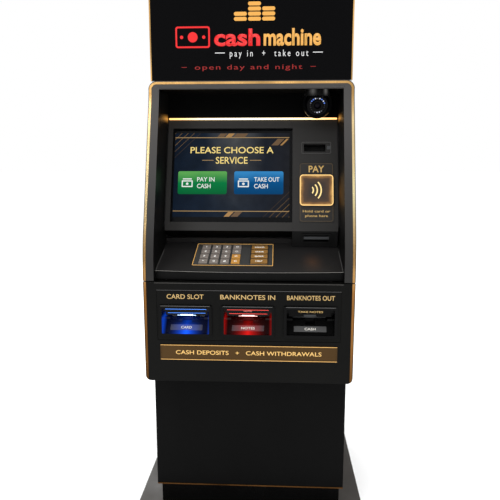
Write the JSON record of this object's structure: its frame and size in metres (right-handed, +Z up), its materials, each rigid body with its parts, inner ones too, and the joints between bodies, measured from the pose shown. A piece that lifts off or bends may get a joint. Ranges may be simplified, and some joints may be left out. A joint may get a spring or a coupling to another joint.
{
  "type": "cash machine",
  "caption": "Free-standing cash machine: steel pedestal, hooded console with screen, keypad, reader and slots, topper sign, rear doors.",
  "frame": {"origin": "centre of the floor plate's underside", "axes": "+X to the user's right, +Y away from the user, +Z up"},
  "size_m": [0.6, 0.63, 1.3565],
  "materials": {
    "black_steel": "satin powder coat",
    "plate_steel": "dark textured paint",
    "black_panel": "fine satin",
    "black_fascia": "satin",
    "gold": "polished",
    "bronze": "brushed, dark",
    "screen": "gloss, lit",
    "reader_pad": "satin with a lit border",
    "light_bar": "lit diffuser",
    "keypad_plate": "satin",
    "key_grey": "brushed",
    "key_gold": "satin",
    "camera_black": "gloss",
    "camera_grey": "dark anodised",
    "sign_black": "gloss",
    "device_grey": "moulded",
    "steel": "brushed",
    "dial_black": "moulded",
    "paper": "paper roll"
  },
  "bodies": {
    "root": {"cabinet_shell": "black_steel", "console_frame": "black_steel", "floor_base": "plate_steel", "left_cheek": "black_panel", "right_cheek": "black_panel", "hood_cover": "black_panel", "screen_bezel": "black_panel", "control_column": "black_panel", "shelf": "black_panel", "card_bezel": "black_panel", "note_bezel": "black_panel", "cash_bezel": "black_panel", "lower_fascia": "black_fascia", "gold_trim_strips": "gold", "name_plate": "bronze", "display_module": "screen", "contact_reader": "reader_pad", "led_strip": "light_bar", "keypad_frame": "keypad_plate", "camera_mount": "camera_grey", "topper_box": "sign_black", "topper_face": "sign_black", "card_reader": "device_grey", "note_acceptor": "device_grey", "cash_dispenser": "device_grey", "cash_cassette": "device_grey", "computer": "device_grey", "receipt_printer": "device_grey", "power_inlet": "dial_black"},
    "vault_door": {"vault_door": "black_steel"},
    "vault_handle": {"vault_handle": "steel"},
    "vault_lock_dial": {"vault_lock_dial": "dial_black"},
    "vault_bolts": {"vault_bolts": "steel"},
    "service_door": {"service_door": "black_steel"},
    "service_lock": {"service_lock": "steel"},
    "cooling_fan": {"cooling_fan": "dial_black"},
    "cash_shutter": {"cash_shutter": "steel"},
    "paper_roll": {"paper_roll": "paper"},
    "camera_yoke": {"camera_yoke": "camera_black"},
    "camera_ball": {"camera_ball": "camera_black"},
    "key_11": {"key_11": "key_grey"},
    "key_12": {"key_12": "key_grey"},
    "key_13": {"key_13": "key_grey"},
    "key_14": {"key_14": "key_grey"},
    "key_21": {"key_21": "key_grey"},
    "key_22": {"key_22": "key_grey"},
    "key_23": {"key_23": "key_grey"},
    "key_24": {"key_24": "key_grey"},
    "key_31": {"key_31": "key_grey"},
    "key_32": {"key_32": "key_grey"},
    "key_33": {"key_33": "key_grey"},
    "key_34": {"key_34": "key_gold"},
    "key_41": {"key_41": "key_grey"},
    "key_42": {"key_42": "key_grey"},
    "key_43": {"key_43": "key_grey"},
    "key_44": {"key_44": "key_gold"},
    "function_key_1": {"function_key_1": "key_gold"},
    "function_key_2": {"function_key_2": "key_gold"},
    "function_key_3": {"function_key_3": "key_gold"},
    "function_key_4": {"function_key_4": "key_gold"}
  },
  "joints": [
    {"name": "vault_door_hinge", "type": "hinge", "parent": "root", "child": "vault_door", "pos_m": [-0.2195, 0.281, 0.237], "axis": [0, 0, 1], "range_deg": [0, 115]},
    {"name": "vault_handle_turn", "type": "hinge", "parent": "vault_door", "child": "vault_handle", "pos_m": [0.1695, 0.28, 0.237], "axis": [0, -1, 0], "range_deg": [0, 90]},
    {"name": "vault_bolts_slide", "type": "slide", "parent": "vault_door", "child": "vault_bolts", "axis": [1, 0, 0], "range_m": [0, 0.014]},
    {"name": "vault_dial_turn", "type": "hinge", "parent": "vault_door", "child": "vault_lock_dial", "pos_m": [0.1695, 0.285, 0.299], "axis": [0, -1, 0], "continuous": true},
    {"name": "service_door_hinge", "type": "hinge", "parent": "root", "child": "service_door", "pos_m": [-0.2082, 0.281, 0.7665], "axis": [0, 0, 1], "range_deg": [0, 115]},
    {"name": "service_lock_turn", "type": "hinge", "parent": "service_door", "child": "service_lock", "pos_m": [0.1822, 0.27, 0.7665], "axis": [0, 1, 0], "range_deg": [0, 90]},
    {"name": "cooling_fan_spin", "type": "hinge", "parent": "service_door", "child": "cooling_fan", "pos_m": [0, 0.26, 0.9685], "axis": [0, 1, 0], "continuous": true},
    {"name": "cash_shutter_slide", "type": "slide", "parent": "root", "child": "cash_shutter", "axis": [0, 0, 1], "range_m": [0, 0.013]},
    {"name": "paper_roll_spin", "type": "hinge", "parent": "root", "child": "paper_roll", "pos_m": [0.16755, -0.02506, 0.7415], "axis": [1, 0, 0], "continuous": true},
    {"name": "camera_pan", "type": "hinge", "parent": "root", "child": "camera_yoke", "pos_m": [0.166, -0.11142, 1.0665], "axis": [0, 0, 1], "range_deg": [-60, 60]},
    {"name": "camera_tilt", "type": "hinge", "parent": "camera_yoke", "child": "camera_ball", "pos_m": [0.166, -0.11142, 1.0665], "axis": [1, 0, 0], "range_deg": [-20, 30]},
    {"name": "key_11_press", "type": "slide", "parent": "root", "child": "key_11", "axis": [0, 0.2924, -0.9563], "range_m": [0, 0.0018], "stiffness_N_per_m": 600},
    {"name": "key_12_press", "type": "slide", "parent": "root", "child": "key_12", "axis": [0, 0.2924, -0.9563], "range_m": [0, 0.0018], "stiffness_N_per_m": 600},
    {"name": "key_13_press", "type": "slide", "parent": "root", "child": "key_13", "axis": [0, 0.2924, -0.9563], "range_m": [0, 0.0018], "stiffness_N_per_m": 600},
    {"name": "key_14_press", "type": "slide", "parent": "root", "child": "key_14", "axis": [0, 0.2924, -0.9563], "range_m": [0, 0.0018], "stiffness_N_per_m": 600},
    {"name": "key_21_press", "type": "slide", "parent": "root", "child": "key_21", "axis": [0, 0.2924, -0.9563], "range_m": [0, 0.0018], "stiffness_N_per_m": 600},
    {"name": "key_22_press", "type": "slide", "parent": "root", "child": "key_22", "axis": [0, 0.2924, -0.9563], "range_m": [0, 0.0018], "stiffness_N_per_m": 600},
    {"name": "key_23_press", "type": "slide", "parent": "root", "child": "key_23", "axis": [0, 0.2924, -0.9563], "range_m": [0, 0.0018], "stiffness_N_per_m": 600},
    {"name": "key_24_press", "type": "slide", "parent": "root", "child": "key_24", "axis": [0, 0.2924, -0.9563], "range_m": [0, 0.0018], "stiffness_N_per_m": 600},
    {"name": "key_31_press", "type": "slide", "parent": "root", "child": "key_31", "axis": [0, 0.2924, -0.9563], "range_m": [0, 0.0018], "stiffness_N_per_m": 600},
    {"name": "key_32_press", "type": "slide", "parent": "root", "child": "key_32", "axis": [0, 0.2924, -0.9563], "range_m": [0, 0.0018], "stiffness_N_per_m": 600},
    {"name": "key_33_press", "type": "slide", "parent": "root", "child": "key_33", "axis": [0, 0.2924, -0.9563], "range_m": [0, 0.0018], "stiffness_N_per_m": 600},
    {"name": "key_34_press", "type": "slide", "parent": "root", "child": "key_34", "axis": [0, 0.2924, -0.9563], "range_m": [0, 0.0018], "stiffness_N_per_m": 600},
    {"name": "key_41_press", "type": "slide", "parent": "root", "child": "key_41", "axis": [0, 0.2924, -0.9563], "range_m": [0, 0.0018], "stiffness_N_per_m": 600},
    {"name": "key_42_press", "type": "slide", "parent": "root", "child": "key_42", "axis": [0, 0.2924, -0.9563], "range_m": [0, 0.0018], "stiffness_N_per_m": 600},
    {"name": "key_43_press", "type": "slide", "parent": "root", "child": "key_43", "axis": [0, 0.2924, -0.9563], "range_m": [0, 0.0018], "stiffness_N_per_m": 600},
    {"name": "key_44_press", "type": "slide", "parent": "root", "child": "key_44", "axis": [0, 0.2924, -0.9563], "range_m": [0, 0.0018], "stiffness_N_per_m": 600},
    {"name": "function_key_1_press", "type": "slide", "parent": "root", "child": "function_key_1", "axis": [0, 0.2924, -0.9563], "range_m": [0, 0.0018], "stiffness_N_per_m": 600},
    {"name": "function_key_2_press", "type": "slide", "parent": "root", "child": "function_key_2", "axis": [0, 0.2924, -0.9563], "range_m": [0, 0.0018], "stiffness_N_per_m": 600},
    {"name": "function_key_3_press", "type": "slide", "parent": "root", "child": "function_key_3", "axis": [0, 0.2924, -0.9563], "range_m": [0, 0.0018], "stiffness_N_per_m": 600},
    {"name": "function_key_4_press", "type": "slide", "parent": "root", "child": "function_key_4", "axis": [0, 0.2924, -0.9563], "range_m": [0, 0.0018], "stiffness_N_per_m": 600}
  ],
  "couplings": [
    {"joint": "vault_bolts_slide", "follows": "vault_handle_turn", "m_per_rad": 0.0089038}
  ]
}
